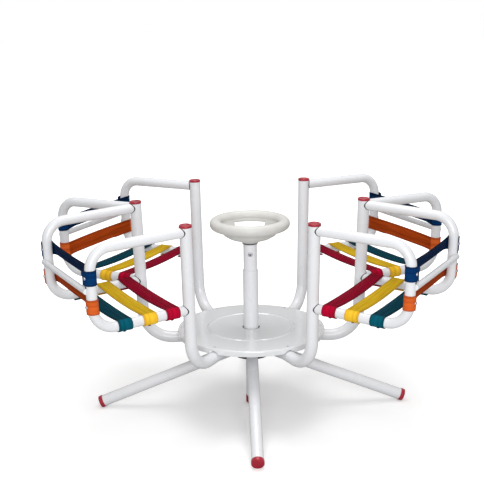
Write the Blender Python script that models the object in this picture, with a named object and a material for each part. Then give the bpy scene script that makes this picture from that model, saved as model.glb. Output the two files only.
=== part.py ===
"""Garden roundabout for four children: a four-legged base with a post and a fixed wheel,
and a turning frame of six bent uprights, eight side loops and twenty straps round a plate.
Metres, +Z up. The origin is on the ground under the post. The turning frame stands with its
left and right uprights on the X axis."""

import math

import bmesh
import bpy
from mathutils import Matrix, Vector

# Clearance between pieces that touch, and how far cutters run past what they cut
GAP = 0.0003
OVERRUN = 0.05
WIDE = 1.0

# Fineness of the meshes
TUBE_SIDES = 12
BEND_STEPS = 8
ROUND_SIDES = 40
POST_SIDES = 32
CAP_SIDES = 24
MERGE_DISTANCE = 1e-6
SHARP_ANGLE = math.radians(35)

# Base: four sloping legs, a lower column, a hub, and the post for the wheel
LEG_RADIUS = 0.019
LEG_TURN = math.radians(1.6)
LEG_HUB_HEIGHT = 0.219
LEG_START = 0.012
LEG_FOOT_REACH = 0.516
LEG_FOOT_HEIGHT = 0.0167
CAP_LENGTH = 0.014
CAP_RADIUS = 0.0205
CAP_EDGE = 0.003
COLUMN_RADIUS = 0.019
COLUMN_CAP_BOTTOM = 0.006
COLUMN_CAP_TOP = 0.032
HUB_CORE_RADIUS = 0.046
HUB_BOTTOM = 0.184
HUB_TOP = 0.2245
HUB_DISC_RADIUS = 0.062
HUB_DISC_TOP = 0.2222
HUB_EDGE = 0.003
SLEEVE_RADIUS = 0.025
SLEEVE_TOP = 0.4735
SLEEVE_CHAMFER = 0.001
POST_RADIUS = 0.0225
POST_TOP = 0.590

# Steering wheel: its outline is the socket, the bowl's underside, the round rim, the dish and the hub
WHEEL_HEIGHT = 0.631
WHEEL_RIM_RADIUS = 0.1142
WHEEL_RIM_THICK = 0.0175
WHEEL_SOCKET_BOTTOM = 0.5635
WHEEL_SOCKET_RADIUS = 0.0267
WHEEL_BORE = POST_RADIUS + 2 * GAP
WHEEL_UNDERSIDE = ((0.0267, 0.5665), (0.032, 0.5705), (0.043, 0.575), (0.070, 0.5845),
                   (0.080, 0.5888), (0.0855, 0.594), (0.089, 0.601))
WHEEL_RIM_START = -140
WHEEL_RIM_END = 200
WHEEL_RIM_STEPS = 12
WHEEL_DISH = ((0.092, 0.6125), (0.085, 0.602), (0.0815, 0.5975), (0.077, 0.5938),
              (0.070, 0.5904), (0.043, 0.5812), (0.030, 0.580))
WHEEL_HUB_TOP = ((0.030, 0.5935), (0.028, 0.5955), (0, 0.5955))
WHEEL_OPEN_ANGLE = math.radians(34)
WHEEL_OPEN_INNER = 0.046
WHEEL_OPEN_OUTER = 0.0955
WHEEL_OPEN_STEPS = 10

# Plate with its skirt, its pressed ring and the bearing boss under it
PLATE_RADIUS = 0.2444
PLATE_TOP = 0.275
PLATE_THICK = 0.002
PLATE_SKIRT_BOTTOM = 0.2555
PLATE_EDGE_ROUND = 0.005
PLATE_HOLE = 0.029
RING_RADIUS = 0.1416
RING_WIDTH = 0.010
RING_RISE = 0.0018
BOSS_RADIUS = 0.045
BOSS_BORE = 0.0258
BOSS_BOTTOM = 0.2250

# Six uprights, each a tube that runs out under the plate and bends up, leaning out a little
UPRIGHT_RADIUS = 0.019
UPRIGHT_ROOT = 0.0457
ARM_HEIGHT = 0.252
LEAN = math.radians(2)
SIDE_UPRIGHT_REACH = 0.356
CORNER_UPRIGHT_REACH = 0.369
CORNER_ANGLE = math.radians(60)
UPRIGHT_BEND = 0.095
UPRIGHT_RISE = 0.4655
UPRIGHT_CAP_RISE = 0.0048
UPRIGHT_CAP_RADIUS = 0.0198

# Side loops: armrest, outer post and seat rail in one bent tube
LOOP_RADIUS = 0.016
LOOP_ANGLE = math.radians(31.6)
LOOP_REACH = 0.3163
ARMREST_RISE = 0.4495
RAIL_RISE = 0.2035
LOOP_TOP_BEND = 0.055
LOOP_LOW_BEND = 0.072

# Back crossbars and straps
CROSSBAR_RADIUS = 0.0095
CROSSBAR_RISE = 0.328
CROSSBAR_OFFSET = 0.0145
STRAP_WIDTH = 0.0455
STRAP_THICK = 0.0026
LONG_FLAP = 0.022
SHORT_FLAP = 0.006
STRAP_CLEAR = 0.001
STRAP_ARC_STEPS = 6
SEAT_SAG = 0.004
SEAT_STRAPS = {"red": 0.0605, "yellow": 0.1375, "teal": 0.220}
BACK_STRAPS = {"blue": (0.3647, LONG_FLAP), "orange": (0.278, SHORT_FLAP)}


# Materials

def make_material(name, colour, roughness, metallic=0.0):
    """Principled material from an sRGB colour given as 0 to 255 values."""
    material = bpy.data.materials.new(name)
    material.use_nodes = True
    shader = material.node_tree.nodes["Principled BSDF"]
    linear = [pow(c / 255, 2.2) for c in colour]
    shader.inputs["Base Color"].default_value = (*linear, 1)
    shader.inputs["Roughness"].default_value = roughness
    shader.inputs["Metallic"].default_value = metallic
    material.diffuse_color = (*linear, 1)
    return material


def all_materials():
    """Every material of the roundabout, by name."""
    return {
        "white_paint": make_material("white_paint", (236, 237, 240), 0.35),
        "plate_paint": make_material("plate_paint", (214, 216, 219), 0.4),
        "black_hub": make_material("black_hub", (30, 30, 32), 0.6),
        "wheel_plastic": make_material("wheel_plastic", (212, 210, 204), 0.5),
        "red_cap": make_material("red_cap", (168, 32, 46), 0.4),
        "red": make_material("strap_red", (170, 12, 44), 0.45),
        "yellow": make_material("strap_yellow", (240, 190, 45), 0.45),
        "teal": make_material("strap_teal", (14, 90, 110), 0.45),
        "blue": make_material("strap_blue", (16, 52, 105), 0.45),
        "orange": make_material("strap_orange", (205, 88, 35), 0.45),
    }


# Shared shape helpers

def finish_mesh(name, mesh, material, cutter=False):
    """Object from a mesh, welded, facing out, shaded smooth except at sharp edges."""
    work = bmesh.new()
    work.from_mesh(mesh)
    bmesh.ops.remove_doubles(work, verts=work.verts, dist=MERGE_DISTANCE)
    bmesh.ops.recalc_face_normals(work, faces=work.faces)
    work.to_mesh(mesh)
    work.free()
    mesh.shade_smooth()
    mesh.set_sharp_from_angle(angle=SHARP_ANGLE)
    body = bpy.data.objects.new(name, mesh)
    bpy.context.scene.collection.objects.link(body)
    if cutter:
        body.hide_render = True
        body.display_type = "WIRE"
    else:
        mesh.materials.append(material)
    return body


def cut(body, *cutters):
    """Take each cutter out of a body with a live Boolean."""
    for cutter in cutters:
        modifier = body.modifiers.new("cut", "BOOLEAN")
        modifier.operation = "DIFFERENCE"
        modifier.object = cutter


def bent_path(corners, radii, steps=BEND_STEPS):
    """Points along straight runs joined by arcs of the given radii at the inner corners."""
    points = [corners[0]]
    for before, corner, after, radius in zip(corners, corners[1:], corners[2:], radii):
        run_in = (corner - before).normalized()
        run_out = (after - corner).normalized()
        turn = run_in.angle(run_out)
        setback = radius * math.tan(turn / 2)
        start = corner - run_in * setback
        axis = run_in.cross(run_out).normalized()
        centre = start + axis.cross(run_in) * radius
        spoke = start - centre
        for step in range(steps + 1):
            points.append(centre + Matrix.Rotation(turn * step / steps, 3, axis) @ spoke)
    points.append(corners[-1])
    return points


def tube(name, points, radius, material=None, cutter=False, sides=TUBE_SIDES):
    """Solid round tube along a list of points, as a bevelled curve with filled ends."""
    curve = bpy.data.curves.new(name, "CURVE")
    curve.dimensions = "3D"
    curve.bevel_depth = radius
    curve.bevel_resolution = sides // 2 - 2
    curve.use_fill_caps = True
    spline = curve.splines.new("POLY")
    spline.points.add(len(points) - 1)
    for place, point in zip(spline.points, points):
        place.co = (*point, 1)
    source = bpy.data.objects.new(name + "_path", curve)
    bpy.context.scene.collection.objects.link(source)
    bpy.context.view_layer.update()
    shape = source.evaluated_get(bpy.context.evaluated_depsgraph_get())
    mesh = bpy.data.meshes.new_from_object(shape)
    bpy.data.objects.remove(source)
    return finish_mesh(name, mesh, material, cutter)


def turned(name, profile, material=None, cutter=False, sides=ROUND_SIDES, place=None):
    """Solid of revolution about Z from a closed outline of (radius, height) points."""
    work = bmesh.new()
    ring = [work.verts.new((radius, 0, height)) for radius, height in profile]
    edges = [work.edges.new((a, b)) for a, b in zip(ring, ring[1:] + ring[:1])]
    bmesh.ops.spin(work, geom=ring + edges, cent=(0, 0, 0), axis=(0, 0, 1),
                   angle=math.tau, steps=sides, use_merge=True)
    bmesh.ops.remove_doubles(work, verts=work.verts, dist=MERGE_DISTANCE)
    flat = [face for face in work.faces if face.calc_area() < 1e-12]
    bmesh.ops.delete(work, geom=flat, context="FACES")
    if place:
        bmesh.ops.transform(work, matrix=place, verts=work.verts)
    mesh = bpy.data.meshes.new(name)
    work.to_mesh(mesh)
    work.free()
    return finish_mesh(name, mesh, material, cutter)


def arc(centre, radius, start, end, steps):
    """Points on an arc in a profile, angles in degrees from the radius direction."""
    angles = [math.radians(start + (end - start) * step / steps) for step in range(steps + 1)]
    return [(centre[0] + radius * math.cos(a), centre[1] + radius * math.sin(a)) for a in angles]


def slab(name, low, high, place):
    """Box cutter between two corners, moved by a matrix."""
    work = bmesh.new()
    size = Vector(high) - Vector(low)
    middle = (Vector(high) + Vector(low)) / 2
    shape = Matrix.Translation(middle) @ Matrix.Diagonal((*size, 1))
    bmesh.ops.create_cube(work, size=1, matrix=place @ shape)
    mesh = bpy.data.meshes.new(name)
    work.to_mesh(mesh)
    work.free()
    return finish_mesh(name, mesh, None, cutter=True)


# Base

def cap_profile(radius, length, rounding):
    """Outline of a plastic end cap whose closed end is at height 0 and faces down."""
    return [(0, 0), *arc((radius - rounding, rounding), rounding, -90, 0, 3),
            (radius, length), (0, length)]


def build_base(materials):
    """Legs with their caps, the column, the hub and the post."""
    hub_profile = [(0, HUB_BOTTOM), (HUB_DISC_RADIUS - HUB_EDGE, HUB_BOTTOM),
                   (HUB_DISC_RADIUS, HUB_BOTTOM + HUB_EDGE), (HUB_DISC_RADIUS, HUB_DISC_TOP - HUB_EDGE),
                   (HUB_DISC_RADIUS - HUB_EDGE, HUB_DISC_TOP), (BOSS_RADIUS, HUB_DISC_TOP),
                   (BOSS_RADIUS - HUB_EDGE, HUB_TOP), (0, HUB_TOP)]
    hub = turned("base_hub", hub_profile, materials["black_hub"], sides=POST_SIDES)
    core_low, core_high = HUB_BOTTOM - OVERRUN, HUB_TOP + OVERRUN
    core_cutter = turned("core_cutter", [(0, core_low), (HUB_CORE_RADIUS + GAP, core_low),
                                         (HUB_CORE_RADIUS + GAP, core_high), (0, core_high)],
                         cutter=True, sides=POST_SIDES)
    floor = slab("floor_cutter", (-WIDE, -WIDE, -OVERRUN), (WIDE, WIDE, 0), Matrix.Identity(4))

    hub_point = Vector((0, 0, LEG_HUB_HEIGHT))
    for index, side in enumerate(("right", "back", "left", "front")):
        turn = Matrix.Rotation(LEG_TURN + index * math.pi / 2, 3, "Z")
        foot = turn @ Vector((LEG_FOOT_REACH, 0, LEG_FOOT_HEIGHT))
        down = (foot - hub_point).normalized()
        tube_end = foot - down * (CAP_LENGTH + GAP)
        leg_points = [hub_point + down * LEG_START, tube_end]
        leg = tube("leg_" + side, leg_points, LEG_RADIUS, materials["white_paint"])
        cut(leg, core_cutter)
        cut(hub, tube("leg_cutter_" + side, leg_points, LEG_RADIUS + GAP, cutter=True))
        aim = down.to_track_quat("-Z", "Y").to_matrix().to_4x4()
        cap = turned("foot_cap_" + side, cap_profile(CAP_RADIUS, CAP_LENGTH, CAP_EDGE), materials["red_cap"],
                     sides=CAP_SIDES, place=Matrix.Translation(foot) @ aim)
        cut(cap, floor)

    turned("lower_column", [(0, COLUMN_CAP_TOP + GAP), (COLUMN_RADIUS, COLUMN_CAP_TOP + GAP),
                            (COLUMN_RADIUS, HUB_BOTTOM - GAP), (0, HUB_BOTTOM - GAP)],
           materials["white_paint"], sides=CAP_SIDES)
    turned("column_cap", cap_profile(CAP_RADIUS, COLUMN_CAP_TOP - COLUMN_CAP_BOTTOM, CAP_EDGE),
           materials["red_cap"], sides=CAP_SIDES, place=Matrix.Translation((0, 0, COLUMN_CAP_BOTTOM)))
    turned("post_sleeve", [(0, HUB_TOP + GAP), (SLEEVE_RADIUS, HUB_TOP + GAP),
                           (SLEEVE_RADIUS, SLEEVE_TOP - SLEEVE_CHAMFER),
                           (SLEEVE_RADIUS - SLEEVE_CHAMFER, SLEEVE_TOP), (0, SLEEVE_TOP)],
           materials["white_paint"], sides=POST_SIDES)
    turned("post_tube", [(0, SLEEVE_TOP + GAP), (POST_RADIUS, SLEEVE_TOP + GAP),
                         (POST_RADIUS, POST_TOP), (0, POST_TOP)], materials["white_paint"], sides=POST_SIDES)


def build_wheel(materials):
    """Fixed wheel: a thick round rim on a bowl with a hub, open between hub and rim at the back."""
    rim_centre = (WHEEL_RIM_RADIUS, WHEEL_HEIGHT)
    rim = arc(rim_centre, WHEEL_RIM_THICK, WHEEL_RIM_START, WHEEL_RIM_END, WHEEL_RIM_STEPS)
    profile = [(WHEEL_BORE, WHEEL_SOCKET_BOTTOM), (WHEEL_SOCKET_RADIUS, WHEEL_SOCKET_BOTTOM),
               *WHEEL_UNDERSIDE, *rim, *WHEEL_DISH, *WHEEL_HUB_TOP,
               (0, POST_TOP + GAP), (WHEEL_BORE, POST_TOP + GAP)]
    wheel = turned("steering_wheel", profile, materials["wheel_plastic"])
    cut(wheel, turned_sector("wheel_opening", math.pi / 2))


def turned_sector(name, middle):
    """Cutter for the opening in the wheel's bowl: a ring sector around the given direction."""
    low, high = WHEEL_SOCKET_BOTTOM, WHEEL_HEIGHT + OVERRUN
    work = bmesh.new()
    corners = [(WHEEL_OPEN_INNER, low), (WHEEL_OPEN_OUTER, low),
               (WHEEL_OPEN_OUTER, high), (WHEEL_OPEN_INNER, high)]
    face = work.faces.new([work.verts.new((radius, 0, height)) for radius, height in corners])
    bmesh.ops.rotate(work, verts=face.verts, cent=(0, 0, 0),
                     matrix=Matrix.Rotation(middle - WHEEL_OPEN_ANGLE, 3, "Z"))
    bmesh.ops.spin(work, geom=[face], cent=(0, 0, 0), axis=(0, 0, 1),
                   angle=2 * WHEEL_OPEN_ANGLE, steps=WHEEL_OPEN_STEPS)
    mesh = bpy.data.meshes.new(name)
    work.to_mesh(mesh)
    work.free()
    return finish_mesh(name, mesh, None, cutter=True)


# Turning frame

def arm_frame(azimuth):
    """Leaning frame of one upright: X runs out from the hub, Z runs up along the upright."""
    return (Matrix.Rotation(azimuth, 4, "Z") @ Matrix.Translation((0, 0, ARM_HEIGHT))
            @ Matrix.Rotation(LEAN, 4, "Y"))


class Upright:
    """One bent tube and the frame that its loops are fixed in."""

    def __init__(self, name, azimuth, reach):
        self.name = name
        self.reach = reach
        self.frame = arm_frame(azimuth)
        self.azimuth = azimuth

    def points(self):
        corners = [Vector((UPRIGHT_ROOT, 0, 0)), Vector((self.reach, 0, 0)),
                   Vector((self.reach, 0, UPRIGHT_RISE))]
        return [self.frame @ point for point in bent_path(corners, [UPRIGHT_BEND])]


class Loop:
    """One side loop, fixed to an upright, running out level in the upright's own frame."""

    def __init__(self, name, upright, azimuth):
        self.name = name
        self.upright = upright
        turn = azimuth - upright.azimuth
        self.out = Vector((math.cos(turn), math.sin(turn), 0))
        self.foot = Vector((upright.reach, 0, 0))

    def path(self):
        """Axis of the tube in the upright's frame, from the armrest's root to the seat rail's."""
        near, far = self.foot, self.foot + self.out * LOOP_REACH
        up = Vector((0, 0, 1))
        corners = [near + up * ARMREST_RISE, far + up * ARMREST_RISE,
                   far + up * RAIL_RISE, near + up * RAIL_RISE]
        return bent_path(corners, [LOOP_TOP_BEND, LOOP_LOW_BEND])

    def points(self):
        return [self.upright.frame @ point for point in self.path()]

    def bends_between(self, low, high):
        """Rises at which the tube's axis changes direction between two rises, lowest first."""
        return sorted(point.z for point in self.path() if low < point.z < high)

    def outer_axis(self, rise):
        """Point on the outer post's axis at a rise, and the tube's radius in the level plane there."""
        path = self.path()
        for above, below in zip(path, path[1:]):
            if below.z <= rise < above.z:
                share = (above.z - rise) / (above.z - below.z)
                slope = (above - below).angle(Vector((0, 0, 1)))
                return self.upright.frame @ above.lerp(below, share), LOOP_RADIUS / math.cos(slope)

    def rail_axis(self, along):
        """Point on the seat rail's axis at a distance from the upright's axis."""
        return self.upright.frame @ (self.foot + self.out * along + Vector((0, 0, RAIL_RISE)))

    def up(self):
        return self.upright.frame.to_3x3() @ Vector((0, 0, 1))

    def inward(self):
        return -(self.upright.frame.to_3x3() @ self.out)


def build_plate(materials, upright_cutters):
    """Pressed plate with a raised ring, a rounded skirt and the bearing boss, notched over the tubes."""
    low = PLATE_TOP - PLATE_THICK
    inner = PLATE_RADIUS - PLATE_THICK
    edge = PLATE_EDGE_ROUND
    half = RING_WIDTH / 2
    skirt_outer = arc((PLATE_RADIUS - edge, PLATE_TOP - edge), edge, 90, 0, 4)
    skirt_inner = arc((PLATE_RADIUS - edge, PLATE_TOP - edge), edge - PLATE_THICK, 0, 90, 3)
    ring_top = [(RING_RADIUS - half, PLATE_TOP), (RING_RADIUS - half / 2, PLATE_TOP + RING_RISE),
                (RING_RADIUS + half / 2, PLATE_TOP + RING_RISE), (RING_RADIUS + half, PLATE_TOP)]
    profile = [(PLATE_HOLE, PLATE_TOP), *ring_top, *skirt_outer, (PLATE_RADIUS, PLATE_SKIRT_BOTTOM),
               (inner, PLATE_SKIRT_BOTTOM), *skirt_inner, (BOSS_RADIUS, low), (BOSS_RADIUS, BOSS_BOTTOM),
               (BOSS_BORE, BOSS_BOTTOM), (BOSS_BORE, low), (PLATE_HOLE, low)]
    plate = turned("platform", profile, materials["plate_paint"])
    cut(plate, *upright_cutters)


def strap_outline(span, middle, flap, sag):
    """Closed outline of a strap in the plane across it: tube centres at 0 and at span."""
    path = [(flap, -middle)]
    path += arc((0, 0), middle, -90, -270, STRAP_ARC_STEPS)
    path += [(span * t, middle - sag * 4 * t * (1 - t)) for t in (0.2, 0.5, 0.8)]
    path += arc((span, 0), middle, 90, -90, STRAP_ARC_STEPS)
    path += [(span - flap, -middle)]
    half = STRAP_THICK / 2
    outer, inner = [], []
    for index, point in enumerate(path):
        before = path[max(index - 1, 0)]
        after = path[min(index + 1, len(path) - 1)]
        along = Vector(after) - Vector(before)
        along.normalize()
        left = Vector((-along.y, along.x)) * half
        outer.append(Vector(point) + left)
        inner.append(Vector(point) - left)
    return outer + inner[::-1]


def strap(name, levels, material, flap, sag=0.0):
    """Strap that spans two tubes, wraps the far side of each and ends in short flaps behind them.
    Each level gives both tube centres, the direction in which the span stands proud, and the
    radius that the tubes have in that level's plane."""
    work = bmesh.new()
    rings = []
    for first, second, proud, radius in levels:
        middle = radius + STRAP_CLEAR + STRAP_THICK / 2
        across = second - first
        span = across.length
        across.normalize()
        normal = (proud - across * proud.dot(across)).normalized()
        outline = strap_outline(span, middle, flap, sag)
        rings.append([work.verts.new(first + across * a + normal * b) for a, b in outline])
    for low, high in zip(rings, rings[1:]):
        for index in range(len(low)):
            work.faces.new((low[index - 1], low[index], high[index], high[index - 1]))
    work.faces.new(rings[0])
    work.faces.new(rings[-1][::-1])
    mesh = bpy.data.meshes.new(name)
    work.to_mesh(mesh)
    work.free()
    return finish_mesh(name, mesh, material)


def build_seat(name, first, second, materials):
    """Crossbar on the outer side of the two loops of one seat, and five straps between them."""
    loop_cutters = [tube(f"{loop.name}_cutter", loop.points(), LOOP_RADIUS + GAP, cutter=True)
                    for loop in (first, second)]
    ends = [loop.outer_axis(CROSSBAR_RISE)[0] - loop.inward() * CROSSBAR_OFFSET for loop in (first, second)]
    bar = tube(f"crossbar_{name}", ends, CROSSBAR_RADIUS, materials["white_paint"])
    cut(bar, *loop_cutters)

    half = STRAP_WIDTH / 2
    for colour, along in SEAT_STRAPS.items():
        proud = (first.up() + second.up()) / 2
        levels = [(first.rail_axis(place), second.rail_axis(place), proud, LOOP_RADIUS)
                  for place in (along - half, along + half)]
        strap(f"seat_strap_{name}_{colour}", levels, materials[colour], LONG_FLAP, SEAT_SAG)
    for colour, (rise, flap) in BACK_STRAPS.items():
        proud = (first.inward() + second.inward()) / 2
        low, high = rise - half, rise + half
        levels = []
        for height in (low, *first.bends_between(low, high), high):
            place, radius = first.outer_axis(height)
            levels.append((place, second.outer_axis(height)[0], proud, radius))
        strap(f"back_strap_{name}_{colour}", levels, materials[colour], flap)


def build_turning_frame(materials):
    """Plate, uprights with caps, loops, crossbars and straps, all free of the base."""
    places = {
        "right": (0.0, SIDE_UPRIGHT_REACH),
        "back_right": (CORNER_ANGLE, CORNER_UPRIGHT_REACH),
        "back_left": (math.pi - CORNER_ANGLE, CORNER_UPRIGHT_REACH),
        "left": (math.pi, SIDE_UPRIGHT_REACH),
        "front_left": (math.pi + CORNER_ANGLE, CORNER_UPRIGHT_REACH),
        "front_right": (-CORNER_ANGLE, CORNER_UPRIGHT_REACH),
    }
    uprights = {name: Upright(name, azimuth, reach) for name, (azimuth, reach) in places.items()}
    cutters = {}
    for name, upright in uprights.items():
        tube("upright_" + name, upright.points(), UPRIGHT_RADIUS, materials["white_paint"])
        cutters[name] = tube(f"upright_{name}_cutter", upright.points(), UPRIGHT_RADIUS + GAP, cutter=True)
        top = Matrix.Translation((upright.reach, 0, UPRIGHT_RISE + UPRIGHT_CAP_RISE))
        face_up = Matrix.Rotation(math.pi, 4, "X")
        turned("upright_cap_" + name, cap_profile(UPRIGHT_CAP_RADIUS, UPRIGHT_CAP_RISE - GAP, CAP_EDGE),
               materials["red_cap"], sides=CAP_SIDES, place=upright.frame @ top @ face_up)
    build_plate(materials, cutters.values())

    seats = {
        "front_left": ("front_left", "left", math.pi + LOOP_ANGLE),
        "back_left": ("back_left", "left", math.pi - LOOP_ANGLE),
        "front_right": ("front_right", "right", -LOOP_ANGLE),
        "back_right": ("back_right", "right", LOOP_ANGLE),
    }
    for seat, (corner, side, azimuth) in seats.items():
        loops = []
        for place in (corner, side):
            kind = "corner" if place == corner else "side"
            upright = uprights[place]
            loop = Loop(f"loop_{seat}_{kind}", upright, azimuth)
            body = tube(loop.name, loop.points(), LOOP_RADIUS, materials["white_paint"])
            cut(body, cutters[place])
            if kind == "side":
                low_y, high_y = (-WIDE, GAP / 2) if loop.out.y > 0 else (-GAP / 2, WIDE)
                cut(body, slab(f"{loop.name}_mitre", (0, low_y, 0), (WIDE, high_y, WIDE), upright.frame))
            loops.append(loop)
        build_seat(seat, *loops, materials)


def main():
    """Clear the scene and build the roundabout."""
    for item in list(bpy.data.objects):
        bpy.data.objects.remove(item)
    materials = all_materials()
    build_base(materials)
    build_wheel(materials)
    build_turning_frame(materials)


main()
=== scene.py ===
# %% [markdown]
# A garden roundabout for four children, dressed around its construction model. The base has four
# sloping legs, a hub and a post with a fixed wheel. A frame of six bent tubes turns round the post
# and carries a foot plate and four seats of straps. Lengths are in metres, +Z is up, and the origin
# is on the ground under the post.

# %% Load the fixed frame
import math

import bmesh
import bpy
from mathutils import Matrix, Vector


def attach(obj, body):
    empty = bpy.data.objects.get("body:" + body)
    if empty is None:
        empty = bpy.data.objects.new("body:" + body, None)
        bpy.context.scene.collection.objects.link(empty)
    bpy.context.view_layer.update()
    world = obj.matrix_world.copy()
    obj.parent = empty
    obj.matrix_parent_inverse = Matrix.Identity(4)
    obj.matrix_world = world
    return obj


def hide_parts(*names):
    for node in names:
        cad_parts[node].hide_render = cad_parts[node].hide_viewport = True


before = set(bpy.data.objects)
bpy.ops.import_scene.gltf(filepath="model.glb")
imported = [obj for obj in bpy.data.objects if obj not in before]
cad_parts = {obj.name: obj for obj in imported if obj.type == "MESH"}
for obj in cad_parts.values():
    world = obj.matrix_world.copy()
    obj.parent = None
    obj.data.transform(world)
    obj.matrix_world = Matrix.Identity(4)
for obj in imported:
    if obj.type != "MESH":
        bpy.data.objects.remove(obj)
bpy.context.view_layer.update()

# %% [markdown]
# The camera comes first, because every look is judged through it. It could be placed by eye, but
# here it follows a fit of the object's own sizes: its distance, its height, and a lens long enough
# to make the far uprights nearly as large as the near ones.

# %% Camera
VIEW_AIM = Vector((-0.0268, 0, 0.5407))
VIEW_DISTANCE = 3.837
VIEW_TURN = math.radians(0.395)
VIEW_RISE = math.radians(15.057)
VIEW_ROLL = math.radians(-0.886)
VIEW_LENS = 83.93


def add_object(name, data):
    """Object in the scene for a camera, a lamp or a mesh."""
    made = bpy.data.objects.new(name, data)
    bpy.context.scene.collection.objects.link(made)
    return made


camera = add_object("camera", bpy.data.cameras.new("camera"))
camera.data.lens = VIEW_LENS
turn = Matrix.Rotation(VIEW_TURN, 4, "Z")
arm = Matrix.Rotation(math.pi / 2 - VIEW_RISE, 4, "X") @ Matrix.Translation((0, 0, VIEW_DISTANCE))
roll = Matrix.Rotation(VIEW_ROLL, 4, "Z")
camera.matrix_world = turn @ Matrix.Translation(VIEW_AIM) @ arm @ roll
bpy.context.scene.camera = camera
print("camera at", [round(value, 3) for value in camera.matrix_world.translation])

# %% [markdown]
# Colours are written as sRGB hex codes, as a paint chart gives them, and shaders want linear values,
# so one function turns them. Another adds a node with its settings and links, so that each finish
# reads as a recipe. The finishes are kept by name for the pieces to come.

# %% Colour and node helpers
FINISHES = {}


def srgb(code):
    """Linear RGBA from a hex code such as ECEDF0."""
    channels = [int(code[place:place + 2], 16) / 255 for place in (0, 2, 4)]
    linear = [c / 12.92 if c <= 0.04045 else ((c + 0.055) / 1.055) ** 2.4 for c in channels]
    return (*linear, 1)


def feed(node, links):
    """Link sockets into a node's inputs by name."""
    for name, socket in links.items():
        node.id_data.links.new(socket, node.inputs[name])


def add_node(tree, kind, settings=None, links=None, stops=()):
    """Shader node of a kind, with inputs or properties set by name, inputs linked by name, and a
    ramp's stops set from (position, hex code) pairs."""
    node = tree.nodes.new("ShaderNode" + kind)
    for name, value in (settings or {}).items():
        if isinstance(name, int) or name in node.inputs:
            node.inputs[name].default_value = value
        else:
            setattr(node, name, value)
    for index, (position, code) in enumerate(stops):
        node.color_ramp.elements[index].color = srgb(code)
        node.color_ramp.elements[index].position = position
    feed(node, links or {})
    return node


def new_finish(name, colour, roughness, **sockets):
    """Material with its shader's constants set, and its node tree to add to."""
    material = bpy.data.materials.new(name)
    material.use_nodes = True
    shader = material.node_tree.nodes["Principled BSDF"]
    shader.inputs["Base Color"].default_value = srgb(colour)
    shader.inputs["Roughness"].default_value = roughness
    for socket, value in sockets.items():
        shader.inputs[socket.replace("_", " ")].default_value = value
    material.diffuse_color = srgb(colour)
    return material, material.node_tree, shader


# %% [markdown]
# The studio is a white sweep with soft light. A large lamp near the camera, a little to its right,
# lights the tubes from the front, a weaker one overhead makes the soft grey shadow on the floor, and
# the world fills the rest. The world is plain white where the camera sees it and weaker as a light.

# %% Studio light
WORLD_STRENGTH = 0.54
KEY_PLACE = (0.2, -3.6, 1.5)
KEY_AIM = (0, 0, 0.4)
KEY_SIZE = 1.9
KEY_POWER = 68
TOP_PLACE = (0.0, 0.3, 2.6)
TOP_AIM = (0, 0, 0)
TOP_SIZE = 1.4
TOP_POWER = 24
WHITE = "FFFFFF"


def facing_place(point, direction):
    """Matrix that stands Z = 0 on a point with +Z along a direction."""
    return Matrix.Translation(point) @ direction.to_track_quat("Z", "Y").to_matrix().to_4x4()


def add_lamp(name, place, aim, size, power):
    """Square soft lamp that shines from a place at a point."""
    lamp = add_object(name, bpy.data.lights.new(name, "AREA"))
    lamp.data.size = size
    lamp.data.energy = power
    lamp.matrix_world = facing_place(place, Vector(place) - Vector(aim))


def split_rays(tree, bounced, seen):
    """Shader that is one thing for the light that bounces and another for the camera."""
    rays = add_node(tree, "LightPath")
    mix = add_node(tree, "MixShader", None, {
        0: rays.outputs["Is Camera Ray"], 1: bounced.outputs[0], 2: seen.outputs[0]})
    return mix.outputs[0]


world = bpy.data.worlds.new("white sweep")
world.use_nodes = True
tree = world.node_tree
tree.nodes.clear()
fill, seen = [add_node(tree, "Background", {"Color": srgb(WHITE), "Strength": strength})
              for strength in (WORLD_STRENGTH, 1.0)]
add_node(tree, "OutputWorld", None, {"Surface": split_rays(tree, fill, seen)})
bpy.context.scene.world = world
add_lamp("key lamp", KEY_PLACE, KEY_AIM, KEY_SIZE, KEY_POWER)
add_lamp("top lamp", TOP_PLACE, TOP_AIM, TOP_SIZE, TOP_POWER)
bpy.context.scene.view_settings.view_transform = "Standard"
print("lamps:", len(bpy.data.lights))

# %% [markdown]
# A floor that is white for every ray would throw so much light back that the undersides would vanish
# in white, so only the camera sees it white: for the light that bounces it is a mid grey. It glows
# more with the distance, so that its edge can't be seen against the world.

# %% Studio floor
FLOOR_SIZE = 14
FLOOR_BOUNCE = "BEBEBE"
FLOOR_GLOW_NEAR = 0.19
FLOOR_GLOW_FAR = 0.85
GLOW_START = 0.3
GLOW_END = 1.8

work = bmesh.new()
bmesh.ops.create_grid(work, x_segments=2, y_segments=2, size=FLOOR_SIZE)
mesh = bpy.data.meshes.new("floor")
work.to_mesh(mesh)
work.free()
material, tree, shader = new_finish("white studio floor", "F4F4F4", 0.9, Emission_Color=srgb(WHITE))
place = add_node(tree, "TexCoord")
reach = add_node(tree, "VectorMath", {"operation": "LENGTH"}, {0: place.outputs["Object"]})
glow = add_node(tree, "MapRange", {
    "From Min": GLOW_START, "From Max": GLOW_END, "To Min": FLOOR_GLOW_NEAR,
    "To Max": FLOOR_GLOW_FAR}, {"Value": reach.outputs["Value"]})
feed(shader, {"Emission Strength": glow.outputs["Result"]})
grey = add_node(tree, "BsdfDiffuse", {"Color": srgb(FLOOR_BOUNCE)})
feed(tree.nodes["Material Output"], {"Surface": split_rays(tree, grey, shader)})
mesh.materials.append(material)
floor = add_object("floor", mesh)
print("floor side:", floor.dimensions.x)

# %% [markdown]
# The tubes are powder-coated steel: plastic powder melted on in an oven. It gives the eye a clean
# white with a soft gloss and an orange-peel texture of about 2 mm. A noise on Object coordinates
# makes the peel and, at a larger scale, a slight drift in tone and gloss.

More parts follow.
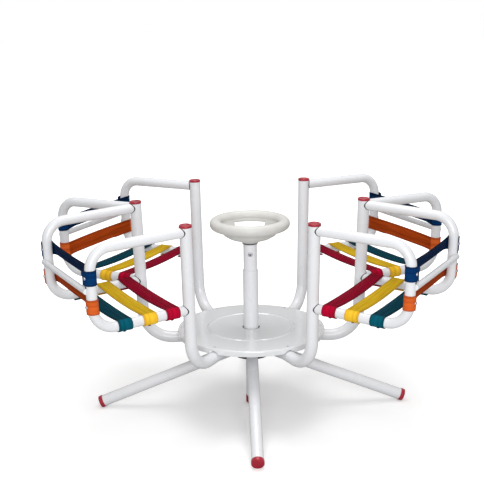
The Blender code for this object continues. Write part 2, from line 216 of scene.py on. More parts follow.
# %% Powder-coated steel
PEEL_SIZE = 0.0022
PEEL_HEIGHT = 0.00005
PEEL_STRENGTH = 0.35
DRIFT_SIZE = 0.09
DRIFT_LOW = 0.3
DRIFT_HIGH = 0.7
TOP_LAYER_ROUGHNESS = 0.06


def powder_coat(name, light, shade, roughness, spread, gloss_layer):
    """White powder coat that drifts between two tones, with an orange-peel surface and a clear
    top layer of a given weight."""
    material, tree, shader = new_finish(name, light, roughness, Coat_Weight=gloss_layer,
                                        Coat_Roughness=TOP_LAYER_ROUGHNESS)
    place = add_node(tree, "TexCoord").outputs["Object"]
    drift = add_node(tree, "TexNoise", {"Scale": 1 / DRIFT_SIZE, "Detail": 2.0}, {"Vector": place})
    tone = add_node(tree, "Mix", {"data_type": "RGBA", 6: srgb(light), 7: srgb(shade)},
                    {"Factor": drift.outputs["Fac"]})
    gloss = add_node(tree, "MapRange", {
        "From Min": DRIFT_LOW, "From Max": DRIFT_HIGH, "To Min": roughness - spread,
        "To Max": roughness + spread}, {"Value": drift.outputs["Fac"]})
    peel = add_node(tree, "TexNoise", {"Scale": 1 / PEEL_SIZE, "Detail": 1.0}, {"Vector": place})
    bump = add_node(tree, "Bump", {"Strength": PEEL_STRENGTH, "Distance": PEEL_HEIGHT},
                    {"Height": peel.outputs["Fac"]})
    feed(shader, {"Base Color": tone.outputs[2], "Roughness": gloss.outputs["Result"],
                  "Normal": bump.outputs["Normal"]})
    return material


FINISHES["white_paint"] = powder_coat("white powder coat", "EDEEF1", "E5E6E9", 0.28, 0.05, 0.3)
# The plate's coat is a little greyer than the tubes' coat. This is painted shade for its up-facing top,
# which gets less of the front light. Its gloss is the plate's own.
FINISHES["plate_paint"] = powder_coat("glossy plate powder coat with painted shade", "E8EAEC", "E2E4E6", 0.11, 0.02, 1.0)
print("finishes:", len(FINISHES))

# %% [markdown]
# The wheel is blow-moulded polyethylene, off-white and waxy, with a fine grained skin. The caps are
# injection-moulded in crimson with a satin skin. The hub's disc and the saddle washers are black nylon,
# and the washers' black also paints the shadow in the gaps at the joints. The two small rings round the
# post are the same black as painted shadow for the gaps there. All are plain dielectrics, so only
# colour, roughness and grain tell them apart. Their tone changes in clouds of about 55 mm.

# %% Moulded plastics
CLOUD_SIZE = 0.0556
CLOUD_LOW = 0.3
CLOUD_HIGH = 0.6
GRAIN_STRENGTH = 0.4


def moulded_plastic(name, colour, tint, roughness, grain_size, grain_height):
    """Moulded plastic with a fine grain and a slight change of tone."""
    material, tree, shader = new_finish(name, colour, roughness)
    place = add_node(tree, "TexCoord").outputs["Object"]
    cloud = add_node(tree, "TexNoise", {"Scale": 1 / CLOUD_SIZE, "Detail": 3.0}, {"Vector": place})
    tone = add_node(tree, "ValToRGB", None, {"Fac": cloud.outputs["Fac"]},
                    [(CLOUD_LOW, tint), (CLOUD_HIGH, colour)])
    grain = add_node(tree, "TexNoise", {"Scale": 1 / grain_size, "Detail": 2.0}, {"Vector": place})
    bump = add_node(tree, "Bump", {"Strength": GRAIN_STRENGTH, "Distance": grain_height},
                    {"Height": grain.outputs["Fac"]})
    feed(shader, {"Base Color": tone.outputs["Color"], "Normal": bump.outputs["Normal"]})
    return material


FINISHES["wheel_plastic"] = moulded_plastic("off-white moulded polyethylene", "D8D7D3", "D0CFCA",
                                            0.40, 0.0012, 0.00004)
FINISHES["red_cap"] = moulded_plastic("crimson moulded cap plastic", "AE1F35", "96182C",
                                      0.30, 0.0010, 0.00003)
FINISHES["black_hub"] = moulded_plastic("black nylon and painted shadow", "1B1B1D", "141416", 0.45, 0.0010, 0.00003)
print("finishes:", len(FINISHES))

# %% [markdown]
# Screws are zinc-plated steel, a metal with a soft grey mirror. The post's bolt has gone dull. The
# screws at the crossbars and under the seat rails are near black: painted shade under the rails and
# painted shadow by the crossbar ends. Plating is never even, so a fine noise changes the roughness.

# %% Fastener steel
HAZE_SIZE = 0.001667
POLISH_SPREAD = 0.08


def plated_steel(name, colour, roughness):
    """Plated steel with a slightly uneven polish."""
    material, tree, shader = new_finish(name, colour, roughness, Metallic=1.0)
    place = add_node(tree, "TexCoord")
    haze = add_node(tree, "TexNoise", {"Scale": 1 / HAZE_SIZE, "Detail": 2.0},
                    {"Vector": place.outputs["Object"]})
    polish = add_node(tree, "MapRange", {
        "To Min": roughness - POLISH_SPREAD, "To Max": roughness + POLISH_SPREAD},
        {"Value": haze.outputs["Fac"]})
    feed(shader, {"Roughness": polish.outputs["Result"]})
    return material


FINISHES["zinc_steel"] = plated_steel("zinc-plated steel", "CDD0D6", 0.34)
FINISHES["dull_steel"] = plated_steel("weathered zinc-plated steel", "C6C9D0", 0.60)
FINISHES["shade_dark_steel"] = plated_steel("steel painted dark as shade", "2A2A2C", 0.40)
print("finishes:", len(FINISHES))

# %% [markdown]
# The straps are polyester webbing with a smooth, slightly waxy face. Its ribs cross the band about
# every 2 mm, both edges are folded into hems, and a row of stitches holds each hem. The band's colour
# is multiplied by a deeper tint between the tubes. This is painted shade for the spans, which lie
# flatter and get less of the front light than the wraps on the tubes. Long streaks of lighter and
# darker tone run along the band as painted sheen, for the streaky highlights of its waxy face. The
# pattern follows the band round the tubes, so it reads the strap's own UV map, which is in metres:
# U along the band from its middle and V across it.
# Real threads are finer than a render of the whole object can show, so the ribs are drawn at 2.4 mm.

# %% Strap webbing
STRAP_WIDTH = 0.0455
HEM_WIDTH = 0.0055
HEM_SHADE = 0.25
WAX_ROUGHNESS = 0.70
WAX_SHINE = 0.03
WAVE_PERIOD = math.tau / 20
RIB_PITCH = 0.0024
RIB_WAVER = 0.6
WEFT_PITCH = 0.0018
WEFT_WAVER = 0.4
WEFT_SHARE = 0.35
STITCH_LENGTH = 0.0036
STITCH_WIDTH = 0.0010
STITCH_GAP = -0.4
STITCH_RAISE = 1.5
TUBE_CONTACT = 0.186
CONTACT_BLUR = 0.003
# Length and width of the painted sheen streaks, and the stops of the tone ramp for streaks and hems.
SHEEN_STREAK_LENGTH = 0.14
SHEEN_STREAK_WIDTH = 0.0075
TONE_RAMP_LOW = 0.38
TONE_RAMP_HIGH = 0.80
WEAVE_HEIGHT = 0.00012
WEAVE_STRENGTH = 0.5
# Each entry: finish name, colour, darker tone for hems and streaks, thread, and the tint that paints
# shade on the spans.
WEBBING_TONES = {
    "red": ("crimson webbing", "BE0A32", "8A0826", "C03650", "B8BCC4"),
    "yellow": ("yellow webbing", "FBCA38", "DCA41E", "F6D468", "D0D6AC"),
    "teal": ("teal webbing", "085C70", "05404C", "1E6878", "A8ACAE"),
    "blue": ("navy webbing", "07386C", "042044", "204884", "ACB0B0"),
    "orange": ("orange webbing", "E0682E", "B44818", "EA8C54", "C4AC80"),
}


def stitch_mask(tree, along, side):
    """1 on the stitches, which run in a row along the middle of each hem."""
    off_row = add_node(tree, "Math", {"operation": "SUBTRACT", 1: (STRAP_WIDTH - HEM_WIDTH) / 2},
                       {0: side})
    row_gap = add_node(tree, "Math", {"operation": "ABSOLUTE"}, {0: off_row.outputs[0]})
    on_row = add_node(tree, "Math", {"operation": "LESS_THAN", 1: STITCH_WIDTH / 2},
                      {0: row_gap.outputs[0]})
    beat = add_node(tree, "Math", {"operation": "MULTIPLY", 1: math.tau / STITCH_LENGTH},
                    {0: along})
    swing = add_node(tree, "Math", {"operation": "SINE"}, {0: beat.outputs[0]})
    down = add_node(tree, "Math", {"operation": "GREATER_THAN", 1: STITCH_GAP},
                    {0: swing.outputs[0]})
    stitch = add_node(tree, "Math", {"operation": "MULTIPLY"},
                      {0: on_row.outputs[0], 1: down.outputs[0]})
    return stitch.outputs[0]


def webbing(name, colour, shade, thread, span_shade_tint):
    """Ribbed webbing with darker, stitched hems, painted sheen streaks and painted shade off the tubes.
    """
    material, tree, shader = new_finish(name, colour, WAX_ROUGHNESS, Specular_IOR_Level=WAX_SHINE)
    flat = add_node(tree, "UVMap", {"uv_map": "flat strap"}).outputs["UV"]
    parts = add_node(tree, "SeparateXYZ", None, {0: flat})
    reach, side = [add_node(tree, "Math", {"operation": "ABSOLUTE"}, {0: parts.outputs[axis]})
                   for axis in ("X", "Y")]
    stitch = stitch_mask(tree, parts.outputs["X"], side.outputs[0])
    hem = add_node(tree, "Math", {"operation": "GREATER_THAN", 1: STRAP_WIDTH / 2 - HEM_WIDTH},
                   {0: side.outputs[0]})
    # Noise stretched along the band paints sheen as long streaks of lighter and darker tone.
    drawn = add_node(tree, "Mapping", {"Scale": (1 / SHEEN_STREAK_LENGTH, 1 / SHEEN_STREAK_WIDTH, 1)},
                     {"Vector": flat})
    painted_sheen_streaks = add_node(tree, "TexNoise", {"Scale": 1.0, "Detail": 2.0},
                     {"Vector": drawn.outputs["Vector"]})
    blend = add_node(tree, "Math", {"operation": "MULTIPLY_ADD", 1: HEM_SHADE},
                     {0: hem.outputs[0], 2: painted_sheen_streaks.outputs["Fac"]})
    tone = add_node(tree, "ValToRGB", None, {"Fac": blend.outputs[0]},
                    [(TONE_RAMP_LOW, colour), (TONE_RAMP_HIGH, shade)])
    sewn = add_node(tree, "Mix", {"data_type": "RGBA", 7: srgb(thread)},
                    {0: stitch, 6: tone.outputs["Color"]})
    # 1 on the spans off the tubes and 0 on the wraps: this is where the painted shade goes.
    free = add_node(tree, "MapRange", {
        "From Min": TUBE_CONTACT - CONTACT_BLUR, "From Max": TUBE_CONTACT + CONTACT_BLUR,
        "To Min": 1.0, "To Max": 0.0}, {"Value": reach.outputs[0]})
    # Multiply the spans by the tint. This is painted shade, because the flatter spans get less of the
    # front light.
    seen = add_node(tree, "Mix", {
        "data_type": "RGBA", "blend_type": "MULTIPLY", 7: srgb(span_shade_tint)},
        {0: free.outputs[0], 6: sewn.outputs[2]})
    ribs = add_node(tree, "TexWave", {
        "bands_direction": "X", "Scale": WAVE_PERIOD / RIB_PITCH, "Distortion": RIB_WAVER,
        "Detail Scale": 2.0}, {"Vector": flat})
    weft = add_node(tree, "TexWave", {
        "bands_direction": "Y", "Scale": WAVE_PERIOD / WEFT_PITCH, "Distortion": WEFT_WAVER},
        {"Vector": flat})
    weave = add_node(tree, "Math", {"operation": "MULTIPLY_ADD", 1: WEFT_SHARE},
                     {0: weft.outputs["Fac"], 2: ribs.outputs["Fac"]})
    raised = add_node(tree, "Math", {"operation": "MULTIPLY_ADD", 1: STITCH_RAISE},
                      {0: stitch, 2: weave.outputs[0]})
    bump = add_node(tree, "Bump", {"Strength": WEAVE_STRENGTH, "Distance": WEAVE_HEIGHT},
                    {"Height": raised.outputs[0]})
    feed(shader, {"Base Color": seen.outputs[2], "Normal": bump.outputs["Normal"]})
    return material


for colour, tones in WEBBING_TONES.items():
    FINISHES[f"strap_{colour}"] = webbing(*tones)
print("finishes:", ", ".join(FINISHES))

# %% [markdown]
# Every shape below starts in a bmesh as a circle, a grid or a few points and is pushed on by
# operators. When it is done, this function closes it into an object at the origin: it merges doubles,
# turns the faces outwards, shades it smooth up to a sharp angle, hands it to the body that it moves
# with, and hides the construction nodes that it stands for.

# %% Finish a piece
MERGE_DISTANCE = 1e-6
SHARP_ANGLE = math.radians(38)


def finish_piece(work, name, finish, body, *nodes):
    """Object in the frame from a bmesh, riding on a body and standing for construction nodes."""
    bmesh.ops.remove_doubles(work, verts=work.verts, dist=MERGE_DISTANCE)
    bmesh.ops.recalc_face_normals(work, faces=work.faces)
    mesh = bpy.data.meshes.new(name)
    work.to_mesh(mesh)
    work.free()
    mesh.shade_smooth()
    mesh.set_sharp_from_angle(angle=SHARP_ANGLE)
    mesh.materials.append(FINISHES[finish])
    piece = add_object(name, mesh)
    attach(piece, body)
    if nodes:
        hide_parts(*nodes)
    print(f"{name}: {len(mesh.polygons)} faces, {[round(side * 1000) for side in piece.dimensions]} mm")
    return piece


# %% [markdown]
# A bent tube is made as a tube bender makes it: a straight run, a bend round a die, the next run.
# A curve with a bevel would also do, but its cross-section tilts and pinches in tight bends. Here a
# circle of edges is extruded along each run and spun round the die's centre for each bend, so the
# wall stays round and the steps fall only where the tube really bends.

# %% Bent tubes
TUBE_SIDES = 40
BEND_STEPS = 18


def new_parts(made, kind):
    """The vertices or edges among the parts that an operator made."""
    return [part for part in made if isinstance(part, kind)]


def push_on(work, ring, travel):
    """Extrude a ring of edges straight on by a travel and return the new ring."""
    made = bmesh.ops.extrude_edge_only(work, edges=ring)["geom"]
    ends = new_parts(made, bmesh.types.BMVert)
    bmesh.ops.translate(work, verts=ends, vec=travel)
    fresh = set(ends)
    return [edge for edge in new_parts(made, bmesh.types.BMEdge) if fresh.issuperset(edge.verts)]


def bent_tube(work, corners, dies, radius):
    """Open tube along straight runs between corners, bent round a die of given radius at each inner
    corner. Returns the vertices of the first and the last ring."""
    here = corners[0]
    heading = (corners[1] - here).normalized()
    first = bmesh.ops.create_circle(work, radius=radius, segments=TUBE_SIDES,
                                    matrix=facing_place(here, heading))["verts"]
    ring = list({edge for vert in first for edge in vert.link_edges})
    for corner, after, die in zip(corners[1:], corners[2:], dies):
        next_heading = (after - corner).normalized()
        angle = heading.angle(next_heading)
        setback = die * math.tan(angle / 2)
        bend_start = corner - heading * setback
        ring = push_on(work, ring, bend_start - here)
        axis = heading.cross(next_heading).normalized()
        ends = list({vert for edge in ring for vert in edge.verts})
        spun = bmesh.ops.spin(work, geom=ends + ring, cent=bend_start + axis.cross(heading) * die,
                              axis=axis, angle=angle, steps=BEND_STEPS)["geom_last"]
        ring = new_parts(spun, bmesh.types.BMEdge)
        here = corner + next_heading * setback
        heading = next_heading
    ring = push_on(work, ring, corners[-1] - here)
    return first, list({vert for edge in ring for vert in edge.verts})


# %% [markdown]
# Round parts such as caps, washers, the plate and the wheel are turned: an outline of radius and
# height is spun once round Z and then moved to its place. Moulded and pressed corners are never
# sharp, so the outline is written with a rounding at each corner, and one function turns the
# roundings into arcs.

# %% Turned parts
ARC_STEPS = 5
TURN_STEPS = 64


def arc(centre, radius, start, end, steps):
    """Points of an arc round a centre, from one angle to another."""
    angles = [start + (end - start) * step / steps for step in range(steps + 1)]
    return [Vector(centre) + Vector((math.cos(angle), math.sin(angle))) * radius for angle in angles]


def rounded(corners, steps=ARC_STEPS):
    """Outline from (radius, height, rounding) corners, with each rounding as an arc."""
    outline = []
    for index, (radius, height, rounding) in enumerate(corners):
        here = Vector((radius, height))
        if not rounding:
            outline.append(here)
            continue
        back = (Vector(corners[index - 1][:2]) - here).normalized()
        ahead = (Vector(corners[index + 1][:2]) - here).normalized()
        half = back.angle(ahead) / 2
        centre = here + (back + ahead).normalized() * rounding / math.sin(half)
        start = here + back * rounding / math.tan(half) - centre
        end = here + ahead * rounding / math.tan(half) - centre
        outline += [centre + start.slerp(end, step / steps) * rounding for step in range(steps + 1)]
    return outline


def turned(work, outline, place=None, steps=TURN_STEPS):
    """Spin an open outline of (radius, height) once round Z, move it, and return its vertices."""
    before = set(work.verts)
    points = [work.verts.new((radius, 0, height)) for radius, height in outline]
    edges = [work.edges.new(pair) for pair in zip(points, points[1:])]
    bmesh.ops.spin(work, geom=points + edges, cent=(0, 0, 0), axis=(0, 0, 1),
                   angle=math.tau, steps=steps, use_merge=True)
    fresh = [vert for vert in work.verts if vert not in before]
    if place:
        bmesh.ops.transform(work, matrix=place, verts=fresh)
    return fresh


def turned_piece(outline, *names, place=None, steps=TURN_STEPS):
    """Piece made of one turned outline."""
    work = bmesh.new()
    turned(work, outline, place, steps)
    return finish_piece(work, *names)


# %% [markdown]
# The base is the part that stands still. Its legs are straight tubes that slope from the hub to the
# ground, each closed by a pushed-on crimson cap with a collar and a rounded end. The leg runs a
# little into the hub, where the real one is welded, and its cap hides the open end.

# %% Legs and foot caps
LEG_RADIUS = 0.019
LEG_TURN = math.radians(1.6)
LEG_HUB_HEIGHT = 0.219
LEG_START = 0.040
LEG_FOOT_REACH = 0.516
LEG_FOOT_HEIGHT = 0.0167
CAP_LENGTH = 0.014
CAP_RADIUS = 0.0205
CAP_ROUND = 0.0035
CAP_SHOULDER = 0.008
CAP_STEPS = 48


def cap_outline(length):
    """Outline of a pushed-on cap: a rounded end at height 0, a straight wall and a rolled collar."""
    return rounded([(0, 0.0006, 0), (CAP_RADIUS - CAP_SHOULDER, 0, 0.002), (CAP_RADIUS, 0, CAP_ROUND),
                    (CAP_RADIUS, length, 0.0009), (LEG_RADIUS, length, 0)])


hub_point = Vector((0, 0, LEG_HUB_HEIGHT))
for index, side in enumerate(("right", "back", "left", "front")):
    turn = Matrix.Rotation(LEG_TURN + index * math.pi / 2, 3, "Z")
    foot = turn @ Vector((LEG_FOOT_REACH, 0, LEG_FOOT_HEIGHT))
    down = (foot - hub_point).normalized()
    work = bmesh.new()
    bent_tube(work, [hub_point + down * LEG_START, foot - down * CAP_LENGTH / 2], [], LEG_RADIUS)
    finish_piece(work, f"leg_tube_{side}", "white_paint", "base", f"leg_{side}")
    work = bmesh.new()
    for vert in turned(work, cap_outline(CAP_LENGTH), facing_place(foot, -down), CAP_STEPS):
        vert.co.z = max(vert.co.z, 0)
    finish_piece(work, f"foot_plug_{side}", "red_cap", "base", f"foot_cap_{side}")

# %% [markdown]
# Below the hub hangs a short column with a cap of the same kind. The hub is a steel core inside a
# black nylon disc on which the frame turns. Above it stands the sleeve, and in the sleeve the
# slimmer post, held by a bolt near its top. Turning each outline separately keeps the real joints
# between them visible as fine shadow lines.

# %% Hub, column and post
COLUMN_RADIUS = 0.019
COLUMN_CAP_BOTTOM = 0.006
COLUMN_CAP_TOP = 0.032
COLUMN_TUCK = 0.004
HUB_BOTTOM = 0.180
HUB_TOP = 0.2245
HUB_STEPS = 72
HUB_DISC_RADIUS = 0.062
HUB_DISC_TOP = 0.2222
BOSS_RADIUS = 0.045
SLEEVE_RADIUS = 0.025
SLEEVE_TOP = 0.4735
SLEEVE_LINING = 0.02
POST_RADIUS = 0.0225
POST_TOP = 0.590

column = [(COLUMN_RADIUS, COLUMN_CAP_TOP - COLUMN_TUCK), (COLUMN_RADIUS, HUB_BOTTOM + COLUMN_TUCK / 2)]
turned_piece(column, "column_tube", "white_paint", "base", "lower_column")
turned_piece(cap_outline(COLUMN_CAP_TOP - COLUMN_CAP_BOTTOM), "column_plug", "red_cap", "base",
             "column_cap", place=Matrix.Translation((0, 0, COLUMN_CAP_BOTTOM)), steps=CAP_STEPS)
hub = rounded([(0, HUB_BOTTOM, 0), (HUB_DISC_RADIUS, HUB_BOTTOM, 0.002),
               (HUB_DISC_RADIUS, HUB_DISC_TOP, 0.003), (BOSS_RADIUS, HUB_DISC_TOP, 0.0005),
               (BOSS_RADIUS - 0.003, HUB_TOP, 0.0008), (SLEEVE_RADIUS - 0.001, HUB_TOP, 0),
               (0, HUB_TOP, 0)])
turned_piece(hub, "bearing_disc", "black_hub", "base", "base_hub", steps=HUB_STEPS)
sleeve = rounded([(SLEEVE_RADIUS, HUB_TOP, 0), (SLEEVE_RADIUS, SLEEVE_TOP, 0.0012),
                  (POST_RADIUS, SLEEVE_TOP, 0.0003), (POST_RADIUS, SLEEVE_TOP - SLEEVE_LINING, 0)])
turned_piece(sleeve, "sleeve_tube", "white_paint", "base", "post_sleeve")
post = rounded([(POST_RADIUS - 0.0002, SLEEVE_TOP - SLEEVE_LINING * 1.5, 0),
                (POST_RADIUS, SLEEVE_TOP - SLEEVE_LINING / 2, 0), (POST_RADIUS, POST_TOP, 0.001),
                (0, POST_TOP, 0)])
turned_piece(post, "wheel_post", "white_paint", "base", "post_tube")

# %% [markdown]
# The wheel is one hollow moulding: a thick round rim on a bowl that narrows to a socket on the post.
# Behind the hub the bowl is open up to a low lip, so that a hand can close round the rim. The outline
# is spun, then the faces of both skins inside the opening are deleted, their two edges are bridged
# into a wall, and the new edges are bevelled as a mould would leave them. A black ring under the
# socket is painted shadow: it draws the dark gap between the socket and the post.

# %% Steering wheel
WHEEL_HEIGHT = 0.631
WHEEL_RIM_RADIUS = 0.1142
WHEEL_RIM_THICK = 0.0175
WHEEL_STEPS = 120
WHEEL_BORE = 0.0231
SOCKET_RADIUS = 0.0274
SOCKET_BOTTOM = 0.5675
SHADOW_RING_RADIUS = 0.0262
SHADOW_RING_BOTTOM = 0.5636
GAP_INNER = 0.046
GAP_OUTER = 0.0954
GAP_ANGLE = math.radians(34)
GAP_EDGE = 0.0016
RIM_START = math.radians(-140)
RIM_END = math.radians(200)
RIM_STEPS = 40
BOWL_OUTSIDE = [(WHEEL_BORE, SOCKET_BOTTOM, 0), (SOCKET_RADIUS, SOCKET_BOTTOM, 0.001),
                (0.0335, 0.5712, 0.004), (GAP_INNER, 0.5762, 0), (0.070, 0.5845, 0.02),
                (0.0855, 0.594, 0.012), (0.0925, 0.6060, 0), (0.0967, 0.6130, 0)]
BOWL_INSIDE = [(0.0945, 0.6175, 0), (0.085, 0.602, 0.004), (0.0795, 0.5948, 0.009),
               (0.070, 0.5904, 0.012), (GAP_INNER, 0.5822, 0), (0.0305, 0.580, 0.004),
               (0.0305, 0.5955, 0.004), (0, 0.5960, 0)]


def in_opening(point):
    """Whether a point of the bowl lies in the sector that is open at the back, up to a low lip."""
    angle = abs(math.atan2(point.x, point.y))
    return GAP_INNER < point.xy.length < GAP_OUTER and angle < GAP_ANGLE


work = bmesh.new()
rim = arc((WHEEL_RIM_RADIUS, WHEEL_HEIGHT), WHEEL_RIM_THICK, RIM_START, RIM_END, RIM_STEPS)
turned(work, rounded(BOWL_OUTSIDE) + rim + rounded(BOWL_INSIDE),
       Matrix.Rotation(math.pi / 2, 4, "Z"), WHEEL_STEPS)
bmesh.ops.remove_doubles(work, verts=work.verts, dist=MERGE_DISTANCE)
gone = [face for face in work.faces if in_opening(face.calc_center_median())]
bmesh.ops.delete(work, geom=gone, context="FACES")
edges = [edge for edge in work.edges
         if edge.is_boundary and edge.verts[0].co.xy.length > GAP_INNER - 0.001]
made = bmesh.ops.bridge_loops(work, edges=edges)
bmesh.ops.bevel(work, geom=edges, affect="EDGES", offset=GAP_EDGE, segments=3, profile=0.5,
                material=-1)
print("opening walls:", len(made["faces"]))
finish_piece(work, "wheel_moulding", "wheel_plastic", "base", "steering_wheel")
# A black ring under the socket: painted shadow for the dark gap between the socket and the post.
shadow_ring_under_socket = rounded([(POST_RADIUS, SHADOW_RING_BOTTOM, 0), (SHADOW_RING_RADIUS, SHADOW_RING_BOTTOM, 0.0006),
                (SHADOW_RING_RADIUS, SOCKET_BOTTOM, 0)])
turned_piece(shadow_ring_under_socket, "wheel_shadow_ring", "black_hub", "base")

# %% [markdown]
# The foot plate is pressed from sheet: a flat top with one raised ring, a rolled edge and a skirt.
# The skirt is notched where the six tubes pass under it. The notches could be cut with a Boolean,
# but lifting the skirt's lower edge over each tube keeps the spun mesh clean, so each vertex below
# the rolled edge is moved up by as much as the tube's round back asks. A black ring fills the gap
# between the plate's hole and the sleeve, just clear of the sleeve because it turns. Its black is
# painted shadow for the dark gap line there.

# %% Foot plate
PLATE_RADIUS = 0.2444
PLATE_TOP = 0.275
PLATE_THICK = 0.002
SKIRT_BOTTOM = 0.2555
PLATE_ROLL = 0.005
PLATE_HOLE = 0.029
RING_RADIUS = 0.1416
RING_WIDTH = 0.012
RING_RISE = 0.0026
BOSS_BORE = 0.0258
BOSS_BOTTOM = 0.2250
HOLE_RING_INNER = 0.0254
HOLE_RING_TOP = 0.2742
HOLE_RING_SLOPE = 0.0004
PLATE_STEPS = 480
NOTCH_CLEAR = 0.0034
ARM_HEIGHT = 0.252
LEAN = math.radians(2)
UPRIGHT_RADIUS = 0.019
CORNER_ANGLE = math.radians(60)
CORNER_REACH = 0.369
SIDE_REACH = 0.356
UPRIGHTS = {
    "right": (0.0, SIDE_REACH),
    "back_right": (CORNER_ANGLE, CORNER_REACH),
    "back_left": (math.pi - CORNER_ANGLE, CORNER_REACH),
    "left": (math.pi, SIDE_REACH),
    "front_left": (math.pi + CORNER_ANGLE, CORNER_REACH),
    "front_right": (-CORNER_ANGLE, CORNER_REACH),
}


def notch_height(point, azimuth):
    """Height to which the skirt is cut at a point, over the tube that runs out at an azimuth."""
    along = Vector((math.cos(azimuth), math.sin(azimuth)))
    reach = point.xy.dot(along)
    aside = point.xy.cross(along)
    room = UPRIGHT_RADIUS + NOTCH_CLEAR
    if reach < 0 or abs(aside) >= room:
        return SKIRT_BOTTOM
    return max(SKIRT_BOTTOM, ARM_HEIGHT - reach * math.tan(LEAN) + math.sqrt(room ** 2 - aside ** 2))


half = RING_WIDTH / 2
low = PLATE_TOP - PLATE_THICK
inner = PLATE_RADIUS - PLATE_THICK
section = rounded([
    (PLATE_HOLE, low, 0), (PLATE_HOLE, PLATE_TOP, 0.0006),
    (RING_RADIUS - half, PLATE_TOP, 0.002), (RING_RADIUS - half / 3, PLATE_TOP + RING_RISE, 0.002),
    (RING_RADIUS + half / 3, PLATE_TOP + RING_RISE, 0.002), (RING_RADIUS + half, PLATE_TOP, 0.002),
    (PLATE_RADIUS, PLATE_TOP, PLATE_ROLL), (PLATE_RADIUS, SKIRT_BOTTOM, 0.0008),
    (inner, SKIRT_BOTTOM, 0.0008), (inner, low, PLATE_ROLL - PLATE_THICK),
    (BOSS_RADIUS, low, 0.002), (BOSS_RADIUS, BOSS_BOTTOM, 0.001),
    (BOSS_BORE, BOSS_BOTTOM, 0.0005), (BOSS_BORE, low, 0), (PLATE_HOLE, low, 0)])
work = bmesh.new()
turned(work, section, None, PLATE_STEPS)
roll_start = PLATE_TOP - PLATE_ROLL
for vert in work.verts:
    if vert.co.xy.length > PLATE_RADIUS - 2 * PLATE_THICK and vert.co.z < roll_start:
        cut = max(notch_height(vert.co, azimuth) for azimuth, reach in UPRIGHTS.values())
        share = (roll_start - vert.co.z) / (roll_start - SKIRT_BOTTOM)
        vert.co.z += (cut - SKIRT_BOTTOM) * share
finish_piece(work, "foot_plate", "plate_paint", "turning_frame", "platform")
# A black ring between the plate's hole and the sleeve: painted shadow for the dark gap line there.
hole_shadow_ring = rounded([(PLATE_HOLE, HOLE_RING_TOP - HOLE_RING_SLOPE, 0), (HOLE_RING_INNER, HOLE_RING_TOP, HOLE_RING_SLOPE),
                (HOLE_RING_INNER, PLATE_TOP - 2 * PLATE_THICK, 0)])
turned_piece(hole_shadow_ring, "plate_hole_shadow_ring", "black_hub", "turning_frame")

# %% [markdown]
# Each upright is one tube that starts at the boss, runs out under the plate, bends up and leans
# out by two degrees. Its cap is pushed into the open end: a thin crimson lid with a rounded rim and a
# shallow dish, which is what catches the light as a pale ring.

# %% Uprights and their caps
UPRIGHT_ROOT = 0.044
UPRIGHT_BEND = 0.095
UPRIGHT_RISE = 0.4655
LID_SKIRT = 0.0016
LID_RISE = 0.0062
LID_RADIUS = 0.0198
LID_ROUND = 0.0026
LID_RIM = 0.0052
LID_DISH = 0.0020


def upright_frame(name):
    """Leaning frame of an upright: X runs out from the hub and Z up along the upright."""
    azimuth = UPRIGHTS[name][0]
    return (Matrix.Rotation(azimuth, 4, "Z") @ Matrix.Translation((0, 0, ARM_HEIGHT))
            @ Matrix.Rotation(LEAN, 4, "Y"))


lid = rounded([(LID_RADIUS - 0.0006, -LID_SKIRT, 0), (LID_RADIUS, 0.0004 - LID_SKIRT, 0.0003),
               (LID_RADIUS, LID_RISE, LID_ROUND), (LID_RADIUS - LID_RIM, LID_RISE, 0.0012),
               (LID_RADIUS - LID_RIM - 0.0023, LID_RISE - LID_DISH, 0.002),
               (0, LID_RISE - LID_DISH - 0.0002, 0)])
for name, (azimuth, reach) in UPRIGHTS.items():
    place = upright_frame(name)
    corners = [place @ Vector(point) for point in
               ((UPRIGHT_ROOT, 0, 0), (reach, 0, 0), (reach, 0, UPRIGHT_RISE))]
    work = bmesh.new()
    bent_tube(work, corners, [UPRIGHT_BEND], UPRIGHT_RADIUS)
    finish_piece(work, f"bent_upright_{name}", "white_paint", "turning_frame", f"upright_{name}")
    turned_piece(lid, f"lid_{name}", "red_cap", "turning_frame", f"upright_cap_{name}",
                 place=place @ Matrix.Translation((reach, 0, UPRIGHT_RISE)), steps=CAP_STEPS)

# %% [markdown]
# A side loop is armrest, outer post and seat rail in one bent tube. It runs level in the leaning
# frame of its upright. The other pieces of a seat hang on it, so one small class keeps where its
# axis runs. The tube's end follows the upright's round wall, so each vertex of the end ring slides
# along the tube until it lies on that wall. Where two loops share an upright, both are cut on the
# plane between them.

# %% One side loop
LOOP_RADIUS = 0.016
LOOP_ANGLE = math.radians(31.6)
LOOP_REACH = 0.3163
ARMREST_RISE = 0.4495
RAIL_RISE = 0.2035
LOOP_TOP_BEND = 0.062
LOOP_LOW_BEND = 0.072
MITRE_GAP = 0.0002
KINDS = ("corner", "side")
SEATS = {
    "front_left": ("front_left", "left", math.pi + LOOP_ANGLE),
    "back_left": ("back_left", "left", math.pi - LOOP_ANGLE),
    "front_right": ("front_right", "right", -LOOP_ANGLE),
    "back_right": ("back_right", "right", LOOP_ANGLE),
}


